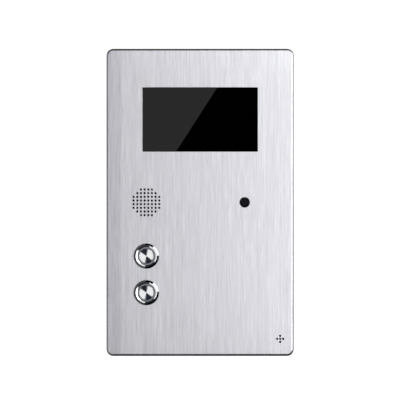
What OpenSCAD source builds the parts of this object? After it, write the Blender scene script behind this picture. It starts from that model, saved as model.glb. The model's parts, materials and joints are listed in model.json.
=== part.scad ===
// Surface-mounted door intercom panel. A folded stainless-steel shell hooks on a wall plate
// and carries a display, a speaker, a camera, a microphone, a main board and two call buttons.
//
// Each module draws in panel coordinates: X to the right, Y up, Z out of the wall, with the
// wall at Z = 0. on_wall() then stands the panel upright, so that its front faces -Y.

/* [Shell] */
// Width of the front face
face_w = 164; // [164:1:176]
// Height of the front face
face_h = 269; // [269:1:280]
// Distance from the wall to the front face
depth = 45; // [45:1:60]
// Thickness of the stainless-steel sheet
sheet = 2; // [1.5:0.25:2]
// Corner radius of the shell, seen from the front
corner_r = 6; // [5:0.5:8]
// Outer radius of the bend round the front face
bend_r = 2; // [1:0.25:2]

/* [Openings in the front] */
// Width of the display opening
window_w = 101; // [94:1:102]
// Height of the display opening
window_h = 56.3; // [52:0.1:57]
// Height of the display's centre above the panel's centre
window_y = 72.5; // [71:0.5:76]
// Distance of the speaker and the call buttons left of the centre line
left_x = 47; // [46:0.5:49]
// Pitch of the speaker holes
grille_pitch = 3.2; // [2.8:0.1:3.4]
// Speaker holes along each side of the grid
grille_count = 8; // [6:2:8]
// Diameter of a sound hole
sound_hole_d = 1.8; // [1.4:0.1:2.0]
// Distance of the camera right of the centre line
camera_x = 39; // [37:0.5:41]
// Diameter of the camera opening
camera_d = 9.2; // [8.4:0.2:10]
// Distance of the microphone right of the centre line
mic_x = 70; // [66:0.5:70]
// Distance of the microphone below the panel's centre
mic_drop = 119.5; // [118:0.5:121]
// Pitch of the microphone holes
mic_pitch = 2.6; // [2.4:0.1:2.8]

/* [Call buttons] */
// Distance of the upper button below the panel's centre
button_drop = 47; // [47:0.5:50]
// Distance between the two buttons
button_pitch = 32; // [31:0.5:36]
// Diameter of a button's head
head_d = 22; // [21.5:0.25:23]
// Height of a button's head over the front face
head_h = 2; // [1.8:0.1:2.4]
// Diameter of a button's threaded barrel
barrel_d = 18.9; // [18.8:0.05:19]
// Outer diameter of the light ring in a button's head
light_d = 15.7; // [15.4:0.1:15.8]
// Diameter of the cap that is pressed
cap_d = 13; // [12.6:0.1:13]
// Travel of the cap
cap_travel = 3; // [2:0.25:3]

/* [Wall fixing] */
// Distance between the wall screws, across
wall_screw_w = 110; // [100:1:116]
// Distance between the wall screws, up
wall_screw_h = 200; // [190:1:210]
// Diameter of a wall screw's hole
wall_screw_d = 5.5; // [4.5:0.1:6.5]
// Diameter of the cable hole through the grommet
cable_d = 12; // [8:1:14]

/* [Hidden] */
$fn = 48;
cut = 1;                              // how far a cutting tool runs past the face it cuts
gap = 0.1;                            // clearance between parts that slide or screw together

// Shell and wall plate
inner_z = depth - sheet;              // back of the front sheet, which every bracket hangs from
inner_w = face_w - 2 * sheet;
inner_h = face_h - 2 * sheet;
shell_rim_z = 0.6;                    // the shell's rear rim stays just off the wall
seal_t = 2;
plate_play = 0.3;
plate_w = inner_w - 2 * plate_play;
plate_h = inner_h - 2 * plate_play;
plate_r = corner_r - sheet - plate_play;
plate_z = seal_t;
plate_front = plate_z + sheet;
seal_width = 7;
flange_h = 10;                        // how far the wall plate's flanges stand forward
flange_w = 112;
lock_x = 40;                          // security screws, left and right of the centre
lock_z = plate_front + 5;
lock_r = 1.95;                        // M4 thread
lock_head_r = 3.75;
hook_x = 42;
hook_w = 14;
hook_flange_y = plate_h / 2 - 5;      // lower face of the hook flange
hook_foot_z = plate_front + 3;
hook_drop = 3;                        // how far a tongue reaches below the hook flange
tongue_t = 1.5;
slot_play = 0.3;
weep_d = 3;
weep_x = 62;

// Brackets on short standoffs behind the front sheet
standoff_h = 6.7;
standoff_r = 3;
ear_w = 8;                            // width of a bracket's ear, round each screw
bracket_t = 1.2;
bracket_front = inner_z - standoff_h;
bracket_back = bracket_front - bracket_t;
m3_r = 1.45;
m3_head_r = 2.8;
m3_head_h = 2.2;
screw_length = 6;

// Display stack, front to back
window_seal_t = 0.6;
glass_t = 2;
glass_w = window_w + 11;
glass_h = window_h + 11.7;
glass_front = inner_z - window_seal_t;
glass_back = glass_front - glass_t;
lcd_w = 105.5;
lcd_h = 67.2;
lcd_front = glass_back - 0.5;
lcd_skin = 0.4;
lcd_cell_t = 1.4;
lcd_cell_back = lcd_front - lcd_skin - lcd_cell_t;
display_ear_x = glass_w / 2 + standoff_r + 2.5;
display_ear_y = 24;
ribbon_x = 6;                         // the ribbon runs right of the centre, past a standoff
ribbon_w = 20.5;
ribbon_t = 0.3;

// Speaker
speaker_r = 20;
speaker_rim_t = 2.1;
speaker_rim_front = bracket_front + speaker_rim_t;
speaker_mesh_t = 0.4;
basket_depth = 8;
magnet_r = 13;
magnet_t = 8;
magnet_front = bracket_front - basket_depth;
speaker_ear_x = 27;
basket_top_r = 17.8;
basket_foot = 1.2;                    // height of the basket over the magnet before it slopes

// Camera
camera_window_flange = 1.2;
camera_barrel_r = 6;
camera_barrel_front = inner_z - 1.6;
camera_box = 22;
camera_box_t = 11;
camera_box_back = bracket_back - camera_box_t;
camera_ear_x = 17;
camera_socket_y = -10.5;
camera_ribbon_w = 10;
board_t = 1.6;

// Microphone
mic_r = 4.85;
mic_t = 4.5;
boot_r = 7;
mic_ear = 16;

// Main board
board_w = 84;
board_h = 80;
board_x = 24;
board_y = -58;
board_standoff_h = 12.4;
board_front = inner_z - board_standoff_h;
board_back = board_front - board_t;
board_top = board_y + board_h / 2;
board_hole_inset = 4;
header_h = 6;
terminal_ways = 8;
terminal_pitch = 5;
// Plug headers for the speaker, the buttons, the microphone and the camera: each one's
// centre and size on the board.
headers = [[-38.5, 26, 5, 8], [-38.5, 15, 5, 8], [26, -37, 8, 5], [camera_x - board_x, 36, 12, 5]];

// Leads. The speaker's starts square to the slope of the basket.
lead_r = 0.9;
basket_slope = atan((basket_top_r - magnet_r) / (basket_depth - basket_foot));
lead_start_r = magnet_r + (4 - basket_foot) * tan(basket_slope) + 0.05;

// Call button, from the front face inwards
button_seal_t = 0.5;
head_back = depth + button_seal_t;
head_front = depth + head_h;
barrel_back = inner_z - 16;
head_chamfer = 1.7;
head_dish = 0.33;
light_front = head_front - 0.6;
cap_front = head_front - 0.1;
cap_t = 3;
cap_back = cap_front - cap_t;
guide_floor_z = barrel_back + 5;
guide_floor_t = 1.6;
spring_r = 4.4;
spring_wire = 0.6;
spring_turns = 5;
plunger_r = 2.4;
plunger_back = guide_floor_z - 2.5;
collar_z = guide_floor_z - 1;
collar_lip = 0.5;
block_r = 9;
block_back = barrel_back - 11;
block_neck_front = guide_floor_z - 1;
well_floor = plunger_back - cap_travel - 5.5;  // room for the travel and the contacts
terminal_h = 7;

// The 1 or 2 at the end of a node's name says which call button it is part of.
function button_at(n) = [-left_x, -button_drop - (n - 1) * button_pitch, 0];
mic_at = [mic_x, -mic_drop, 0];
speaker_at = [-left_x, 0, 0];
camera_at = [camera_x, 0, 0];
display_ears = [for (x = [-1, 1], y = [-1, 1]) [x * display_ear_x, window_y + y * display_ear_y]];
speaker_ears = [for (x = [-1, 1]) [-left_x + x * speaker_ear_x, 0]];
camera_ears = [for (x = [-1, 1]) [camera_x + x * camera_ear_x, 0]];
mic_ears = [[mic_x - mic_ear, -mic_drop], [mic_x, -mic_drop + mic_ear]];
bracket_ears = concat(display_ears, speaker_ears, camera_ears, mic_ears);
board_holes = [for (x = [-1, 1], y = [-1, 1])
    [board_x + x * (board_w / 2 - board_hole_inset), board_y + y * (board_h / 2 - board_hole_inset)]];

// ---------- shared shapes ----------

module on_wall() {
    rotate([90, 0, 0]) children();
}

// A rectangle with round corners, drawn flat.
module round_rect(w, h, r) {
    square([w - 2 * r, h], center = true);
    square([w, h - 2 * r], center = true);
    for (x = [-1, 1], y = [-1, 1])
        translate([x * (w / 2 - r), y * (h / 2 - r)]) circle(r);
}

// A slab with round corners, from height z0 to z1.
module slab(w, h, r, z0, z1) {
    translate([0, 0, z0]) linear_extrude(z1 - z0) round_rect(w, h, r);
}

// A frame with a round-cornered opening, its limbs as wide as limb.
module ring_slab(w, h, r, limb, z0, z1) {
    translate([0, 0, z0]) linear_extrude(z1 - z0) difference() {
        round_rect(w, h, r);
        square([w - 2 * limb, h - 2 * limb], center = true);
    }
}

// A tube between two heights.
module ring(r_out, r_in, z0, z1) {
    translate([0, 0, z0]) difference() {
        cylinder(r = r_out, h = z1 - z0);
        translate([0, 0, -cut]) cylinder(r = r_in, h = z1 - z0 + 2 * cut);
    }
}

// Half of a block's cross-section, from its middle to a side that ends in a rounded front edge.
module edge_section(reach, z0, z1, edge) {
    translate([0, z0]) square([reach - edge, z1 - z0]);
    translate([0, z0]) square([reach, z1 - z0 - edge]);
    translate([reach - edge, z1 - edge]) circle(edge);
}

// A block with round corners whose front edge is rounded all the way round.
module soft_block(w, h, r, z0, z1, edge) {
    for (turn = [0, 180]) rotate(turn) {
        rotate([90, 0, 0]) translate([0, 0, -(h / 2 - r)])
            linear_extrude(h - 2 * r) edge_section(w / 2, z0, z1, edge);
        rotate([90, 0, 90]) translate([0, 0, -(w / 2 - r)])
            linear_extrude(w - 2 * r) edge_section(h / 2, z0, z1, edge);
    }
    for (x = [0, 1], y = [0, 1])
        mirror([x, 0, 0]) mirror([0, y, 0]) translate([w / 2 - r, h / 2 - r, 0])
            rotate_extrude(angle = 90) edge_section(r, z0, z1, edge);
}

// A pan-head screw whose head sits behind height z and whose thread runs forward.
module pan_screw(z, length) {
    difference() {
        translate([0, 0, z - m3_head_h]) cylinder(r = m3_head_r, h = m3_head_h);
        translate([0, 0, z - m3_head_h - cut]) cylinder(r = 1.3, h = 1.2 + cut, $fn = 6);
    }
    translate([0, 0, z]) cylinder(r = m3_r, h = length);
}

// Offsets of the sound holes from the centre of a square grid whose corners are left out.
function grille_holes(count, pitch) = [
    for (i = [0:count - 1], j = [0:count - 1])
        let (x = i - (count - 1) / 2, y = j - (count - 1) / 2)
        if (x * x + y * y < pow(count / 2, 2) - 1) [x * pitch, y * pitch]];
function cross_holes(pitch) = [[0, 0], [pitch, 0], [-pitch, 0], [0, pitch], [0, -pitch]];

// A smooth line through the points of a route.
function spline_point(a, b, c, d, t) =
    0.5 * (2 * b + (c - a) * t + (2 * a - 5 * b + 4 * c - d) * t * t
        + (3 * b - a - 3 * c + d) * t * t * t);
function smooth(p, steps) = concat(
    [for (i = [0:len(p) - 2], s = [0:steps - 1])
        spline_point(p[max(i - 1, 0)], p[i], p[i + 1], p[min(i + 2, len(p) - 1)], s / steps)],
    [p[len(p) - 1]]);
// A route whose first and last legs stay straight, so that a cord leaves a face squarely.
function route(p, steps) = concat(
    [p[0]], smooth([for (i = [1:len(p) - 2]) p[i]], steps), [p[len(p) - 1]]);
function unit(v) = v / norm(v);
function direction(p, i) = unit(p[min(i + 1, len(p) - 1)] - p[max(i - 1, 0)]);
// The side direction of each ring is the one before it, turned as little as the bend needs.
function sides_along(p, i = 1, found = []) =
    i > len(p) ? found :
    let (d = direction(p, i - 1),
         last = len(found) == 0 ? (abs(d[2]) < 0.9 ? [0, 0, 1] : [1, 0, 0]) : found[i - 2])
    sides_along(p, i + 1, concat(found, [unit(last - (last * d) * d)]));

// A round wire swept along a list of points.
module wire(points, r, sides = 8) {
    side = sides_along(points);
    n = len(points);
    corners = [for (i = [0:n - 1], k = [0:sides - 1])
        let (d = direction(points, i), u = side[i], v = cross(d, u), a = 360 * k / sides)
        points[i] + r * (cos(a) * u + sin(a) * v)];
    walls = [for (i = [0:n - 2], k = [0:sides - 1])
        let (a = i * sides + k, b = i * sides + (k + 1) % sides) [a, a + sides, b + sides, b]];
    start = [[for (k = [0:sides - 1]) k]];
    end = [[for (k = [sides - 1:-1:0]) (n - 1) * sides + k]];
    polyhedron(corners, concat(start, walls, end), convexity = 6);
}

// ---------- shell and wall plate ----------

module front_shell() color([0.78, 0.78, 0.8]) on_wall() difference() {
    soft_block(face_w, face_h, corner_r, shell_rim_z, depth, bend_r);
    slab(inner_w, inner_h, corner_r - sheet, -cut, inner_z);
    translate([0, window_y, inner_z - cut])
        linear_extrude(sheet + 2 * cut) square([window_w, window_h], center = true);
    for (p = grille_holes(grille_count, grille_pitch)) sound_hole(speaker_at + [p[0], p[1], 0]);
    for (p = cross_holes(mic_pitch)) sound_hole(mic_at + [p[0], p[1], 0]);
    front_hole(camera_at, camera_d);
    for (n = [1, 2]) front_hole(button_at(n), barrel_d + 2 * gap);
    for (x = [-1, 1]) {
        translate([x * lock_x, -face_h / 2, lock_z]) rotate([-90, 0, 0]) lock_countersink();
        translate([x * weep_x, -face_h / 2 - cut, lock_z + 8])
            rotate([-90, 0, 0]) cylinder(d = weep_d, h = sheet + 2 * cut);
    }
}

module front_hole(at, d) {
    translate(at + [0, 0, inner_z - cut]) cylinder(d = d, h = sheet + 2 * cut);
}

module sound_hole(at) {
    translate(at + [0, 0, inner_z - cut]) cylinder(d = sound_hole_d, h = sheet + 2 * cut, $fn = 16);
}

module lock_countersink() {
    sink = lock_head_r - lock_r;
    translate([0, 0, -cut]) cylinder(r = lock_r + gap, h = sheet + 2 * cut);
    translate([0, 0, -gap]) cylinder(r1 = lock_head_r + 2 * gap, r2 = lock_r + gap, h = sink + gap);
}

// Feet welded under the top of the shell. They rest on the wall plate's hook flange, and
// their tongues drop through it.
module hook_tabs() color([0.7, 0.7, 0.72]) on_wall() for (x = [-1, 1])
    translate([x * hook_x - hook_w / 2, hook_flange_y, hook_foot_z]) {
        translate([0, sheet, 0]) cube([hook_w, inner_h / 2 - hook_flange_y - sheet, 7]);
        translate([0, -hook_drop, 0]) cube([hook_w, hook_drop + sheet, tongue_t]);
    }

module back_plate() color([0.66, 0.68, 0.7]) on_wall() difference() {
    slab(plate_w, plate_h, plate_r, plate_z, plate_front);
    for (x = [-1, 1], y = [-1, 1])
        translate([x * wall_screw_w / 2, y * wall_screw_h / 2, plate_z - cut])
            cylinder(d = wall_screw_d, h = sheet + 2 * cut);
    translate([0, 0, plate_z - cut]) cylinder(r = cable_d / 2 + 4, h = sheet + 2 * cut);
}

// Two flanges welded to the wall plate: the upper one takes the shell's hooks, and the lower
// one its locking screws.
module plate_flanges() color([0.64, 0.66, 0.68]) on_wall() difference() {
    for (y = [hook_flange_y, -plate_h / 2])
        translate([-flange_w / 2, y, plate_front]) cube([flange_w, sheet, flange_h]);
    for (x = [-1, 1]) {
        translate([x * hook_x - hook_w / 2 - 1, hook_flange_y - cut, hook_foot_z - slot_play])
            cube([hook_w + 2, sheet + 2 * cut, tongue_t + 2 * slot_play]);
        translate([x * lock_x, -plate_h / 2 - cut, lock_z])
            rotate([-90, 0, 0]) cylinder(r = lock_r + gap, h = sheet + 2 * cut);
    }
}

module wall_seal() color([0.1, 0.1, 0.1]) on_wall()
    ring_slab(plate_w, plate_h, plate_r, seal_width, 0, seal_t);

module cable_grommet() color([0.08, 0.08, 0.08]) on_wall() {
    bore = cable_d / 2;
    rotate_extrude() polygon([
        [bore, 0.2], [bore + 6.5, 0.2], [bore + 6.5, plate_z], [bore + 4, plate_z],
        [bore + 4, plate_front], [bore + 6.5, plate_front], [bore + 5.5, plate_front + 2.2],
        [bore, plate_front + 2.2]]);
}

module clinch_nuts() color([0.75, 0.75, 0.7]) on_wall() for (x = [-1, 1])
    translate([x * lock_x, -plate_h / 2 + sheet, lock_z]) rotate([-90, 0, 0])
        difference() {
            union() {
                cylinder(r = 4.5, h = 1.2);
                cylinder(r = 3.4, h = 4);
            }
            translate([0, 0, -cut]) cylinder(r = lock_r + gap, h = 4 + 2 * cut);
        }

// Countersunk screws with a pinned socket, driven up through the bottom of the shell.
module security_screws() color([0.72, 0.72, 0.74]) on_wall() for (x = [-1, 1])
    translate([x * lock_x, -face_h / 2, lock_z]) rotate([-90, 0, 0]) {
        sink = lock_head_r - lock_r;
        difference() {
            union() {
                cylinder(r1 = lock_head_r, r2 = lock_r, h = sink);
                cylinder(r = lock_r, h = 9);
            }
            translate([0, 0, -cut]) difference() {
                cylinder(r = 1.3, h = 1.4 + cut, $fn = 6);
                cylinder(r = 0.5, h = 3);
            }
        }
    }

// ---------- display ----------

module window_seal() color([0.05, 0.05, 0.05]) on_wall() translate([0, window_y, 0])
    ring_slab(glass_w, glass_h, 1.5, 4.5, glass_front, inner_z);

module display_window() color([0.02, 0.02, 0.02]) on_wall() translate([0, window_y, 0])
    slab(glass_w, glass_h, 1.5, glass_back, glass_front);

// The pressed metal frame round the display cell, open at the back.
module lcd_bezel() color([0.6, 0.6, 0.62]) on_wall() translate([0, window_y, 0]) {
    ring_slab(lcd_w, lcd_h, 1, 4, lcd_front - lcd_skin, lcd_front);
    ring_slab(lcd_w, lcd_h, 1, lcd_skin, bracket_front, lcd_front - lcd_skin);
}

module lcd_panel() color([0.03, 0.03, 0.04]) on_wall() translate([0, window_y, 0])
    slab(lcd_w - 2 * lcd_skin - 0.4, lcd_h - 2 * lcd_skin - 0.4, 0.8, lcd_cell_back, lcd_front - lcd_skin);

module lcd_backlight() color([0.9, 0.9, 0.9]) on_wall() translate([0, window_y, 0])
    slab(lcd_w - 2 * lcd_skin - 0.4, lcd_h - 2 * lcd_skin - 0.4, 0.8, bracket_front, lcd_cell_back);

module bracket_hole(at) {
    translate([at[0], at[1], bracket_back - cut]) cylinder(r = m3_r + 0.25, h = bracket_t + 2 * cut);
}

// A pressed plate with lightening windows that holds the display to the front sheet.
module display_bracket() color([0.72, 0.73, 0.74]) on_wall() difference() {
    union() {
        translate([0, window_y, 0]) slab(lcd_w + 4, lcd_h + 3, 2, bracket_back, bracket_front);
        for (y = [-1, 1]) translate([0, window_y + y * display_ear_y, 0])
            slab(2 * display_ear_x + ear_w, ear_w, standoff_r, bracket_back, bracket_front);
    }
    for (x = [-1, 1]) translate([x * 24, window_y, 0])
        slab(38, 36, 4, bracket_back - cut, bracket_front + cut);
    for (p = display_ears) bracket_hole(p);
}

// A flat cable of width w centred on x, bent along [y, z] points.
module flat_cable(x, w, points) {
    line = route(points, 5);
    n = len(line);
    side = [for (i = [0:n - 1]) let (d = direction(line, i)) [-d[1], d[0]] * ribbon_t / 2];
    rotate([90, 0, 90]) translate([0, 0, x - w / 2]) linear_extrude(w)
        polygon(concat([for (i = [0:n - 1]) line[i] + side[i]],
                       [for (i = [n - 1:-1:0]) line[i] - side[i]]));
}

// From the display's lower edge, round the bracket and down to the front of the main board.
module lcd_ribbon() color([0.8, 0.5, 0.15]) on_wall() {
    top = window_y - lcd_h / 2;
    flat_cable(ribbon_x, ribbon_w, [
        [top, lcd_front - 1.6], [top - 3, lcd_front - 1.6], [top - 5, lcd_front - 3.5],
        [top - 5, bracket_back - 1], [top - 7, board_front + 1.4], [top - 20, board_front + 1.2],
        [board_top - 2, board_front + 1.2]]);
}

module bracket_standoffs() color([0.75, 0.75, 0.77]) on_wall() for (p = bracket_ears)
    translate([p[0], p[1], 0]) ring(standoff_r, m3_r + gap / 2, bracket_front, inner_z);

// M3 screws that hold the brackets and the main board to their standoffs.
module pan_screws() color([0.78, 0.78, 0.8]) on_wall() {
    for (p = bracket_ears) translate([p[0], p[1], 0]) pan_screw(bracket_back, screw_length);
    for (p = board_holes) translate([p[0], p[1], 0]) pan_screw(board_back, screw_length);
}

// ---------- speaker ----------

module speaker_mesh() color([0.04, 0.04, 0.04]) on_wall() translate(speaker_at)
    translate([0, 0, inner_z - speaker_mesh_t]) cylinder(r = 18, h = speaker_mesh_t);

module speaker_gasket() color([0.12, 0.12, 0.12]) on_wall() translate(speaker_at)
    ring(speaker_r, 16.5, speaker_rim_front, inner_z - speaker_mesh_t);

// Rim and basket, with four windows between the basket's legs.
module speaker_frame() color([0.3, 0.3, 0.32]) on_wall() translate(speaker_at) difference() {
    rotate_extrude() polygon([
        [17.6, speaker_rim_front], [speaker_r, speaker_rim_front], [speaker_r, bracket_front],
        [basket_top_r, bracket_front], [magnet_r, magnet_front + basket_foot], [magnet_r, magnet_front],
        [8, magnet_front], [8, magnet_front + 1], [magnet_r - 1.2, magnet_front + 1],
        [16.8, bracket_front], [17.6, bracket_front]]);
    for (a = [45:90:315]) rotate(a) translate([8.5, -4.5, magnet_front + 2])
        cube([12, 9, basket_depth - 3.5]);
}

// Paper cone with its surround and dust cap.
module speaker_cone() color([0.1, 0.1, 0.1]) on_wall() translate(speaker_at)
    rotate_extrude() polygon([
        [0, magnet_front + 6.4], [3, magnet_front + 6], [5, magnet_front + 4.6],
        [15.2, speaker_rim_front - 1.6], [16.4, speaker_rim_front - 0.6],
        [17.5, speaker_rim_front - 1.4], [17.5, speaker_rim_front - 1.8],
        [16.4, speaker_rim_front - 1.1], [15.4, speaker_rim_front - 2.1],
        [5.6, magnet_front + 3.8], [5.6, magnet_front + 1.2], [5, magnet_front + 1.2],
        [5, magnet_front + 3.9], [3, magnet_front + 5.5], [0, magnet_front + 5.9]]);

module speaker_magnet() color([0.55, 0.55, 0.56]) on_wall() translate(speaker_at) {
    rotate_extrude() polygon([
        [0, magnet_front - magnet_t], [magnet_r - 1, magnet_front - magnet_t],
        [magnet_r, magnet_front - magnet_t + 1], [magnet_r, magnet_front], [6.2, magnet_front],
        [6.2, magnet_front - 5], [4.4, magnet_front - 5], [4.4, magnet_front + 0.6],
        [0, magnet_front + 0.6]]);
}

module speaker_clamp() color([0.72, 0.73, 0.74]) on_wall() difference() {
    union() {
        translate(speaker_at) translate([0, 0, bracket_back]) cylinder(r = 22.5, h = bracket_t);
        translate(speaker_at)
            slab(2 * speaker_ear_x + ear_w, ear_w, standoff_r, bracket_back, bracket_front);
    }
    translate(speaker_at) translate([0, 0, bracket_back - cut]) cylinder(r = 18.2, h = bracket_t + 2 * cut);
    for (p = speaker_ears) bracket_hole(p);
}

// ---------- camera ----------

// A clear stepped plug that fills the opening from behind.
module camera_window() color([0.05, 0.05, 0.06]) on_wall() translate(camera_at)
    rotate_extrude() polygon([
        [0, inner_z - camera_window_flange], [7, inner_z - camera_window_flange], [7, inner_z],
        [camera_d / 2 - gap, inner_z], [camera_d / 2 - gap, depth - 0.5],
        [camera_d / 2 - gap - 0.2, depth - 0.3], [0, depth - 0.3]]);

module camera_lens() color([0.15, 0.15, 0.3]) on_wall() translate(camera_at)
    translate([0, 0, camera_barrel_front - 2.4]) intersection() {
        cylinder(r = 3.4, h = 3);
        translate([0, 0, -3.6]) sphere(r = 5.6);
    }

// M12 lens barrel with a conical mouth in front of the glass.
module camera_barrel() color([0.06, 0.06, 0.06]) on_wall() translate(camera_at)
    rotate_extrude() polygon([
        [0, camera_box_back + 4], [camera_barrel_r, camera_box_back + 4],
        [camera_barrel_r, bracket_front + 0.5], [7, bracket_front + 0.5], [7, camera_barrel_front],
        [5.2, camera_barrel_front], [3.45, camera_barrel_front - 1], [3.45, camera_barrel_front - 2.4],
        [0, camera_barrel_front - 2.4]]);

module camera_housing() color([0.07, 0.07, 0.07]) on_wall() translate(camera_at) difference() {
    slab(camera_box, camera_box, 1.5, camera_box_back, bracket_back);
    translate([0, 0, camera_box_back + 3]) cylinder(r = camera_barrel_r + gap, h = camera_box_t);
    slab(camera_box - 6, camera_box - 6, 1, camera_box_back - cut, camera_box_back + 4);
}

// Board with the image sensor in front and the ribbon's socket behind.
module camera_board() color([0.08, 0.3, 0.14]) on_wall() translate(camera_at) {
    slab(camera_box + 2, camera_box + 2, 1, camera_box_back - board_t, camera_box_back);
    slab(8, 8, 0.4, camera_box_back, camera_box_back + 1.2);
    translate([-6, camera_socket_y, camera_box_back - board_t - 2.5]) cube([12, 4, 2.5]);
}

// From the camera's socket down to its header on the main board.
module camera_ribbon() color([0.85, 0.85, 0.83]) on_wall() {
    socket_z = camera_box_back - board_t - 1.2;
    flat_cable(camera_x, camera_ribbon_w, [
        [camera_socket_y, socket_z], [camera_socket_y - 2, socket_z],
        [camera_socket_y - 5, (socket_z + board_back - 3) / 2],
        [header_top(3) + 2, board_back - 3], [header_top(3), board_back - 3]]);
}

module camera_bracket() color([0.72, 0.73, 0.74]) on_wall() difference() {
    translate(camera_at)
        slab(2 * camera_ear_x + ear_w, camera_box, 2.5, bracket_back, bracket_front);
    translate(camera_at) translate([0, 0, bracket_back - cut])
        cylinder(r = camera_barrel_r + 0.4, h = bracket_t + 2 * cut);
    for (p = camera_ears) bracket_hole(p);
}

// ---------- microphone ----------

module mic_capsule() color([0.78, 0.78, 0.76]) on_wall() translate(mic_at)
    translate([0, 0, inner_z - 1.5 - mic_t]) cylinder(r = mic_r, h = mic_t);

// Rubber boot that seals the capsule to the sound holes.
module mic_boot() color([0.08, 0.08, 0.08]) on_wall() translate(mic_at) difference() {
    translate([0, 0, bracket_front]) cylinder(r = boot_r, h = standoff_h);
    translate([0, 0, bracket_front - cut]) cylinder(r = mic_r, h = standoff_h - 1.5 + cut);
    translate([0, 0, inner_z - 1.5 - cut]) cylinder(r = 3.8, h = 1.5 + 2 * cut);
}

// A round plate behind the boot, with an arm to each of its two screws.
module mic_bracket() color([0.72, 0.73, 0.74]) on_wall() difference() {
    translate(mic_at) {
        translate([0, 0, bracket_back]) cylinder(r = boot_r + 1, h = bracket_t);
        for (turn = [90, 180]) rotate(turn) translate([mic_ear / 2, 0, 0])
            slab(mic_ear + ear_w, ear_w, standoff_r, bracket_back, bracket_front);
    }
    translate(mic_at) translate([0, 0, bracket_back - cut]) cylinder(r = 2.2, h = bracket_t + 2 * cut);
    for (p = mic_ears) bracket_hole(p);
}

// ---------- main board ----------

// Boxes on the back of the board: centre along x and y, and size, from the board backwards.
module on_board(x, y, w, h, t) {
    translate([board_x + x - w / 2, board_y + y - h / 2, board_back - t]) cube([w, h, t]);
}

module main_board() color([0.05, 0.32, 0.16]) on_wall() difference() {
    translate([board_x, board_y, 0]) slab(board_w, board_h, 2, board_back, board_front);
    for (p = board_holes)
        translate([p[0], p[1], board_back - cut]) cylinder(r = m3_r + 0.15, h = board_t + 2 * cut);
}

module board_standoffs() color([0.8, 0.68, 0.35]) on_wall() for (p = board_holes)
    translate([p[0], p[1], 0]) ring(standoff_r, m3_r + gap / 2, board_front, inner_z);

module processor_shield() color([0.7, 0.7, 0.72]) on_wall()
    on_board(4, -2, 28, 26, 3);

module board_chips() color([0.06, 0.06, 0.06]) on_wall() {
    on_board(6, 24, 10, 8, 1.4);
    on_board(30, -10, 9, 14, 1.2);
    on_board(8, -24, 14, 6, 1.6);
    on_board(-20, -19, 6, 6, 1.2);
    on_board(30, 8, 6, 5, 1.2);
    on_board(27, 20, 7, 7, 1);
}

module capacitors() color([0.3, 0.32, 0.4]) on_wall() for (p = [[-22, 2], [-22, -8], [26, -26]])
    translate([board_x + p[0], board_y + p[1], board_back - 11]) cylinder(r = 4, h = 11);

module door_relay() color([0.1, 0.25, 0.55]) on_wall()
    on_board(-15, -30, 19, 11, 12);

// Shielded socket for the network cable, with its mouth up towards the cable entry.
module network_jack() color([0.72, 0.72, 0.74]) on_wall() {
    x = -14;
    y = 29.5;
    difference() {
        on_board(x, y, 16, 20, 13.5);
        translate([board_x + x - 5.9, board_y + y - 3, board_back - 9.5]) cube([11.8, 13 + cut, 8]);
    }
}

// Screw terminals, with a wire hole and a screw hole for each way.
module terminal_block() color([0.1, 0.5, 0.2]) on_wall() {
    x = board_x - 34;
    y0 = board_y - 32 + terminal_pitch / 2;
    difference() {
        translate([x - 5, y0 - terminal_pitch / 2, board_back - 10])
            cube([10, terminal_ways * terminal_pitch, 10]);
        for (i = [0:terminal_ways - 1]) translate([x, y0 + i * terminal_pitch, board_back]) {
            translate([-5 - cut, 0, -3.2]) rotate([0, 90, 0]) cylinder(r = 1.5, h = 5 + cut);
            translate([1, 0, -10 - cut]) cylinder(r = 1.9, h = 3.5 + cut);
        }
    }
}

// The plug headers behind the board and the ribbon's socket in front of it.
module board_headers() color([0.9, 0.88, 0.8]) on_wall() {
    for (h = headers) on_board(h[0], h[1], h[2], h[3], header_h);
    translate([ribbon_x - ribbon_w / 2 - 1.5, board_top - 8, board_front]) cube([ribbon_w + 3, 6, 2.4]);
}

// ---------- leads ----------

// A point on the left or the lower side of a header, at the height of its contacts.
function header_at(n) = [board_x + headers[n][0], board_y + headers[n][1], board_back - header_h / 2];
function header_left(n) = header_at(n) - [headers[n][2] / 2, 0, 0];
function header_low(n) = header_at(n) - [0, headers[n][3] / 2, 0];
function header_top(n) = header_at(n)[1] + headers[n][3] / 2;

// Speaker lead, from a leg of the basket, and microphone lead, out through the bracket.
module audio_leads() color([0.12, 0.12, 0.12]) on_wall() {
    leg = speaker_at + [0, -lead_start_r, magnet_front + 4];
    out = [0, -cos(basket_slope), -sin(basket_slope)];
    to_left = header_left(0);
    wire(route([
        leg, leg + 2 * out, leg + [9, -8, -5.5], to_left + [-9, 5, 0],
        to_left + [-2, 0, 0], to_left], 6), lead_r);
    capsule = mic_at + [0, 0, inner_z - 1.5 - mic_t];
    to_low = header_low(2);
    wire(route([
        capsule, capsule + [0, 0, -5], capsule + [-2.5, 2.5, -9.5], to_low + [8, -9, 0],
        to_low + [0, -2, 0], to_low], 6), lead_r);
}

// One lead from a tab of each button to the header that both share.
module button_leads() color([0.55, 0.08, 0.08]) on_wall() for (n = [1, 2]) {
    tab = button_at(n) + [6, 0, block_back - terminal_h];
    to = header_left(1) + [0, 6 - 4 * n, 0];
    low = (to[1] - tab[1]) / 3;
    wire(route([
        tab, tab + [0, 0, -1.2], tab + [4, 1.5, -2.6], tab + [9, low, 1],
        to + [-9, -low, -7], to + [-2, 0, 0], to], 6), lead_r);
}

// ---------- call buttons ----------

module button_seals() color([0.05, 0.05, 0.05]) on_wall() for (n = [1, 2])
    translate(button_at(n)) ring(head_d / 2 - 0.1, barrel_d / 2 + 0.1, depth, head_back);

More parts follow.
